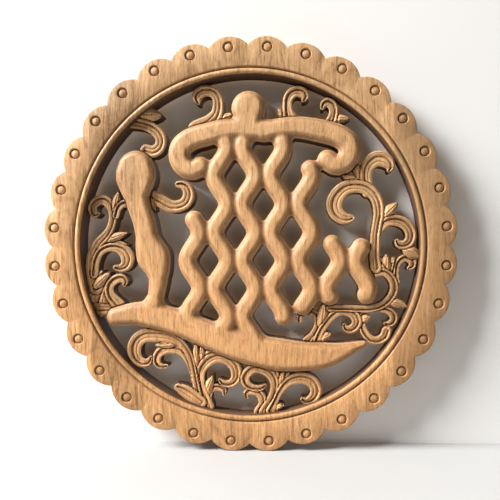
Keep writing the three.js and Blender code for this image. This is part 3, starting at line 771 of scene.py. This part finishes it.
def wood_material(look):
    """Glued-up boards with the grain upright: streaks are noise drawn out along Z, the boards differ in
    tone, figure and contrast, and pores are fine dark dashes. The foot of the rim is darker, as painted
    shade against the floor's bounce light, and the openwork paler from wear. A tint from warm at the
    bottom to cool at the top is painted light. Cuts are darker from stain and painted shade, the edges of
    the openwork from a burnt finish and painted shade, and its pierced sides from painted shade."""
    material = bpy.data.materials.new("camphor_wood")
    material.use_nodes = True
    material.node_tree.nodes.clear()
    tree = Shade(material.node_tree)
    place = tree.add("TexCoord", None, None, "Object").scaled(1000.0)
    x, y, z = (tree.add("SeparateXYZ", None, {0: place}, axis) for axis in "XYZ")
    joints = list(look.joints)
    tone = by_board(x, joints, [1.17, 0.86, 1.08, 1.02, 0.7])
    offset = by_board(x, joints, [0.0, 31.0, 67.0, 11.0, 49.0])
    figure = by_board(x, joints, [0.3, 1.0, 0.5, 0.8, 0.35])
    contrast = by_board(x, joints, [1.0, 1.0, 0.95, 0.85, 0.6])
    # painted shade: darker towards the foot of the rim, to hold down the floor's bounce light there
    foot = z.ramp(-245, -150) * 0.13 + 0.87
    worn = 1.11 - ((x ** 2 + z ** 2) ** 0.5).ramp(203, 207) * 0.16

    def noise(nx, ny, nz, detail=2.0, roughness=0.5):
        at = tree.add("CombineXYZ", None, {0: nx, 1: ny, 2: nz})
        return tree.add("TexNoise", None, {
            "Vector": at, "Scale": 1.0, "Detail": detail, "Roughness": roughness}) - 0.5

    across = x + noise(x / 50, offset, z / 80, 1.0) * 14
    depth = y / 3 + offset
    fine = noise(across / 1.4, depth, z / 22, 3.0, 0.62)
    streak = noise(across / 2.8, depth, z / 48, 2.0)
    band = noise(across / 11, depth, z / 170, 2.0)
    patch = noise(x / 34, depth, z / 60, 2.0)
    fleck = noise(x / 1.9, depth, z / 4.2, 2.0, 0.7)
    flame = noise(across / 13, depth, z / 9, 2.0)
    rings = growth_rings(x, z, noise(x / 45, depth, z / 60, 3.0) * 26, joints)
    grain = (fine * 1.15 + streak * 0.7 + band * 0.5 + patch * 0.4 - rings * 0.2) * contrast + 0.58
    grain = grain + (fleck * 0.75 + flame * 0.3) * figure
    colour = grain.ramp(0.1, 0.55).mix(look.dark, look.middle)
    colour = grain.ramp(0.5, 0.95).mix(colour, look.light)
    dash = noise(across / 1.1, y / 1.2 + offset, z / 11, 1.0).ramp(0.09, 0.2)
    colour = (dash * 0.4).mix(colour, look.pore)
    # painted light: the tint by height stands for warm bounce from below and cool light from above; foot is
    # painted shade
    colour = colour.scaled(tone * foot * worn).times(z.ramp(-170, 170).mix(look.low_painted_bounce_tint, look.high_painted_light_tint))
    seam = sum(1 - ((x - joint) ** 2).ramp(0.02, 0.35) for joint in joints)
    colour = (seam.clamped() * 0.35).mix(colour, look.pore)

    recess_stain_and_shade, crest, edge, wall = (tree.add("Attribute", {"attribute_name": name}, None, "Fac")
                                 for name in ("recess_stain_and_shade", "crest", "edge", "wall"))
    # a burnt finish and painted shade along the openwork's edges
    colour = (edge * 0.95).mix(colour, look.edge)
    colour = (crest * 0.35).mix(colour, look.crest)
    # stain and painted shade in cuts and grooves
    colour = (recess_stain_and_shade * 0.62).mix(colour, look.recess_stain_and_shade)
    # mostly painted shade on the pierced sides
    colour = wall.mix(colour, look.wall)

    rough = 0.54 + fine * 0.25 + recess_stain_and_shade * 0.25 + wall * 0.3 + dash * 0.1
    height = fine * 0.9 + fleck * 0.5 - dash * 0.5
    normal = tree.add("Bump", None, {"Strength": 0.4, "Distance": 0.0004, "Height": height})
    shader = tree.add("BsdfPrincipled", None, {
        "Base Color": colour, "Roughness": rough.clamped(), "Normal": normal,
        "Specular IOR Level": 0.36, "Coat Weight": 0.05, "Coat Roughness": 0.4})
    tree.add("OutputMaterial", None, {0: shader})
    return material


# Stage

def plain_material(name, colour, one_sided=False):
    """A matt colour, on request clear when seen from behind."""
    material = bpy.data.materials.new(name)
    material.use_nodes = True
    material.node_tree.nodes.clear()
    tree = Shade(material.node_tree)
    surface = tree.add("BsdfPrincipled", None, {
        "Base Color": (*colour, 1.0), "Roughness": 0.9, "Specular IOR Level": 0.2})
    if one_sided:
        behind = tree.add("NewGeometry", None, None, "Backfacing")
        surface = tree.add("MixShader", None, {0: behind, 1: surface, 2: tree.add("BsdfTransparent")})
    tree.add("OutputMaterial", None, {0: surface})
    return material


def plane(name, corners, material):
    mesh = bpy.data.meshes.new(name)
    mesh.from_pydata(corners, [], [(0, 1, 2, 3)])
    made = bpy.data.objects.new(name, mesh)
    made.data.materials.append(material)
    bpy.context.scene.collection.objects.link(made)
    return made


def area_light(name, place, size, power):
    """A square light that looks at the middle of the panel's back."""
    light = bpy.data.lights.new(name, "AREA")
    light.shape = "RECTANGLE"
    light.size = light.size_y = size
    light.energy = power
    made = bpy.data.objects.new(name, light)
    made.location = place
    made.rotation_euler = (-Vector(place)).to_track_quat("-Z", "Y").to_euler()
    bpy.context.scene.collection.objects.link(made)
    return made


def build_stage(stage):
    low = cad_box[0].z
    pale = plain_material("pale_floor", stage.floor_colour)
    wall = plain_material("pale_wall", stage.wall_colour, one_sided=True)
    back, wide, deep = stage.wall_gap, 2.0, stage.floor_depth
    plane("floor", [(-wide, -deep, low), (wide, -deep, low), (wide, deep, low), (-wide, deep, low)], pale)
    made = plane("backdrop", [(-wide, back, low), (wide, back, low), (wide, back, low + wide),
                              (-wide, back, low + wide)], wall)
    made.visible_shadow = False  # the back light passes it
    area_light("key", stage.key_place, stage.key_size, stage.key_power)
    area_light("fill", stage.fill_place, stage.fill_size, stage.fill_power)
    area_light("back", stage.back_place, stage.back_size, stage.back_power)
    world = bpy.data.worlds.new("studio")
    world.use_nodes = True
    background = world.node_tree.nodes["Background"]
    background.inputs["Color"].default_value = (*stage.sky_colour, 1)
    background.inputs["Strength"].default_value = stage.sky_power
    bpy.context.scene.world = world
    bpy.context.scene.view_settings.view_transform = "Standard"
    camera = bpy.data.cameras.new("camera")
    camera.sensor_width = 36
    camera.lens = stage.camera_lens
    camera.shift_x, camera.shift_y = stage.camera_shift
    made = bpy.data.objects.new("camera", camera)
    front = cad_box[0].y
    made.location = (stage.camera_right, front - stage.camera_distance, -stage.camera_down)
    made.rotation_euler = (math.pi / 2 - stage.camera_pitch, stage.camera_roll, stage.camera_turn)
    bpy.context.scene.collection.objects.link(made)
    bpy.context.scene.camera = made


# Add-on

def length(name, description, default):
    return FloatProperty(name=name, description=description + ", in millimetres", default=default)


def metres(name, description, default):
    return FloatProperty(name=name, description=description, default=default, unit="LENGTH")


def degrees(name, description, default):
    return FloatProperty(name=name, description=description, default=math.radians(default), unit="ROTATION")


def watts(name, description, default):
    return FloatProperty(name=name, description=description, default=default, unit="POWER")


def position(name, description, default):
    return FloatVectorProperty(name=name, description=description, default=default, size=3,
                               subtype="TRANSLATION", unit="LENGTH")


def colour(name, description, default):
    return FloatVectorProperty(name=name, description=description, default=default, size=3, subtype="COLOR")


class PanelSizes(bpy.types.PropertyGroup):
    diameter: length("Diameter", "Across the tips of the scallops", 500)
    thickness: length("Thickness", "Thickness of the board", 25)
    scallops: IntProperty(name="Scallops", description="Number of scallops and studs", default=32)
    scallop_radius: length("Scallop radius", "Radius of each scallop's arc", 30.5)
    edge_inset: length("Outline inset", "How far the scallops stay inside the solid's", 0.15)
    edge_round: length("Edge rounding", "How far the outline's front edge is eased", 1.3)
    opening_radius: length("Opening radius", "Radius of the rim's inner wall", 205.5)
    bead_width: length("Bead width", "Width of the half-round bead", 7)
    bead_drop: length("Bead height", "Height of the half-round bead", 3)
    groove_width: length("Groove width", "Width of the groove beside the bead", 2)
    stud_circle: length("Stud circle", "Radius of the circle of studs", 237.5)
    stud_radius: length("Stud radius", "Radius of each domed stud", 5.2)
    stud_groove_radius: length("Stud groove radius", "Outer radius of the groove round a stud", 6.9)
    stud_groove_depth: length("Stud groove depth", "Depth of the groove round a stud", 2.4)
    stroke_top: length("Stroke height", "Crest of the bold strokes over the back", 24)
    stroke_drop: length("Stroke drop", "Fall from a stroke's crest to its edge", 6.2)
    stroke_shoulder: length("Stroke shoulder", "Width of the rounding of a stroke", 8.6)
    # reach of the burnt finish and painted shade along the openwork's edges
    stroke_burn_and_shade: length("Stroke burn and shade", "Reach of the darker tone along a stroke's edge", 10.5)
    scroll_burn_and_shade: length("Scroll burn and shade", "Reach of the darker tone along a scroll's edge", 5.5)
    scroll_top: length("Scroll height", "Crest of the scrolls over the back", 17)
    leaf_top: length("Leaf height", "Crest of the leaves over the back", 18.5)
    net_left: length("Net left", "Sideways place of the middle of the bar furthest to the left", -68)
    net_pitch: length("Bar pitch", "Distance between the wavy bars", 34)
    net_wave: length("Bar wave", "Length of one wave of a bar", 68)
    net_sway: length("Bar sway", "Sideways swing of a bar", 7.6)
    net_half: length("Bar half-width", "Half the width of a bar", 11.3)
    grid_step: length("Carving step", "Distance between the points of the carved surface", 0.8)
    openwork_triangles: IntProperty(name="Openwork triangles", description="Triangles kept in the openwork",
                                    default=138000)
    sharp_angle: degrees("Sharp angle", "Edges over this angle stay sharp", 38)


class WoodLook(bpy.types.PropertyGroup):
    light: colour("Light wood", "Palest grain", (0.74, 0.435, 0.21))
    middle: colour("Middle wood", "Middle of the grain", (0.56, 0.298, 0.128))
    dark: colour("Dark wood", "Darkest streaks", (0.3, 0.15, 0.058))
    pore: colour("Pores", "Pores and glue lines", (0.17, 0.075, 0.03))
    # painted light: warm bounce at the bottom and cool light from above, as tints by height
    low_painted_bounce_tint: colour("Low tint", "Tint towards the bottom", (0.97, 0.95, 0.9))
    high_painted_light_tint: colour("High tint", "Tint towards the top", (0.97, 1.05, 1.12))
    # stain and painted shade in cuts and grooves
    recess_stain_and_shade: colour("Cuts", "Bottom of cuts and grooves", (0.155, 0.062, 0.021))
    crest: colour("Ridges", "Rubbed ridges", (0.8, 0.52, 0.28))
    # a burnt finish and painted shade along the openwork's edges
    edge: colour("Edges", "Rounded edges of the openwork", (0.17, 0.066, 0.021))
    # mostly painted shade on the pierced sides
    wall: colour("Pierced sides", "Sides of the pierced openings", (0.05, 0.018, 0.006))
    joints: FloatVectorProperty(name="Glue joints", size=4, default=(-191, -137, 44, 174),
                                description="Places of the joints across the panel in millimetres")


class StageSetup(bpy.types.PropertyGroup):
    floor_colour: colour("Floor", "Colour of the floor", (0.4, 0.4, 0.395))
    wall_colour: colour("Backdrop", "Colour of the backdrop", (0.8, 0.797, 0.785))
    floor_depth: metres("Floor depth", "From the panel's back", 0.5)
    wall_gap: metres("Backdrop distance", "From the panel's back", 0.0055)
    key_place: position("Key place", "Middle of the key light, high on the left", (-2.8, -1.08, 2.3))
    key_size: metres("Key size", "Side of the key light", 1.6)
    key_power: watts("Key power", "Power of the key light", 470)
    fill_place: position("Fill place", "Middle of the fill light", (1.3, -0.75, 0.5))
    fill_size: metres("Fill size", "Side of the fill light", 1.2)
    fill_power: watts("Fill power", "Power of the fill light", 2)
    back_place: position("Back place", "Middle of the light behind the panel", (0.5, 2.2, 0.7))
    back_size: metres("Back size", "Side of the light behind the panel", 1.5)
    back_power: watts("Back power", "Power of the light behind the panel", 16)
    sky_colour: colour("Sky colour", "Colour of the even light", (1.0, 0.8, 0.58))
    sky_power: FloatProperty(name="Sky strength", description="Strength of the even light", default=0.15)
    camera_distance: metres("Camera distance", "From the panel's face", 0.6)
    camera_right: metres("Camera to the right", "From the panel's middle", 0.068)
    camera_down: metres("Camera below", "From the panel's middle", 0.018)
    camera_pitch: degrees("Camera pitch", "How far the camera looks down", 2.04)
    camera_turn: degrees("Camera turn", "How far the camera looks to the left", 1.43)
    camera_roll: degrees("Camera roll", "How far the camera leans", 0.13)
    camera_lens: FloatProperty(name="Lens", description="Focal length in millimetres", default=36.01)
    camera_shift: FloatVectorProperty(name="Shift", description="Shift of the frame", size=2,
                                      default=(-0.0858, 0.0583))


class CARVEDPANEL_OT_panel(bpy.types.Operator):
    """Builds the carved panel over its CAD solid and gives it its wood"""
    bl_idname = "carvedpanel.panel"
    bl_label = "Carved panel"

    def execute(self, context):
        panel = build_panel(context.scene.panel_sizes)
        if not len(panel.data.polygons):
            raise RuntimeError("the carved panel came out empty")
        panel.data.materials.clear()
        panel.data.materials.append(wood_material(context.scene.wood_look))
        panel.data.polygons.foreach_set("material_index", [0] * len(panel.data.polygons))
        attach(panel, "root")
        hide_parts(NODE)
        return {"FINISHED"}


class CARVEDPANEL_OT_stage(bpy.types.Operator):
    """Makes the floor, the backdrop, the lights and the camera"""
    bl_idname = "carvedpanel.stage"
    bl_label = "Studio"

    def execute(self, context):
        build_stage(context.scene.stage_setup)
        return {"FINISHED"}


class CARVEDPANEL_PT_sidebar(bpy.types.Panel):
    bl_label = "Carved Wall Panel"
    bl_idname = "CARVEDPANEL_PT_sidebar"
    bl_space_type = "VIEW_3D"
    bl_region_type = "UI"
    bl_category = "Panel"

    def draw(self, context):
        for operator in (CARVEDPANEL_OT_panel, CARVEDPANEL_OT_stage):
            self.layout.operator(operator.bl_idname)


GROUPS = {"panel_sizes": PanelSizes, "wood_look": WoodLook, "stage_setup": StageSetup}
CLASSES = (*GROUPS.values(), CARVEDPANEL_OT_panel, CARVEDPANEL_OT_stage, CARVEDPANEL_PT_sidebar)


def register():
    for made in CLASSES:
        bpy.utils.register_class(made)
    for name, group in GROUPS.items():
        setattr(bpy.types.Scene, name, PointerProperty(type=group))


def unregister():
    for name in GROUPS:
        delattr(bpy.types.Scene, name)
    for made in reversed(CLASSES):
        bpy.utils.unregister_class(made)


def main():
    register()
    bpy.ops.carvedpanel.panel()
    bpy.ops.carvedpanel.stage()


if __name__ == "__main__":
    main()
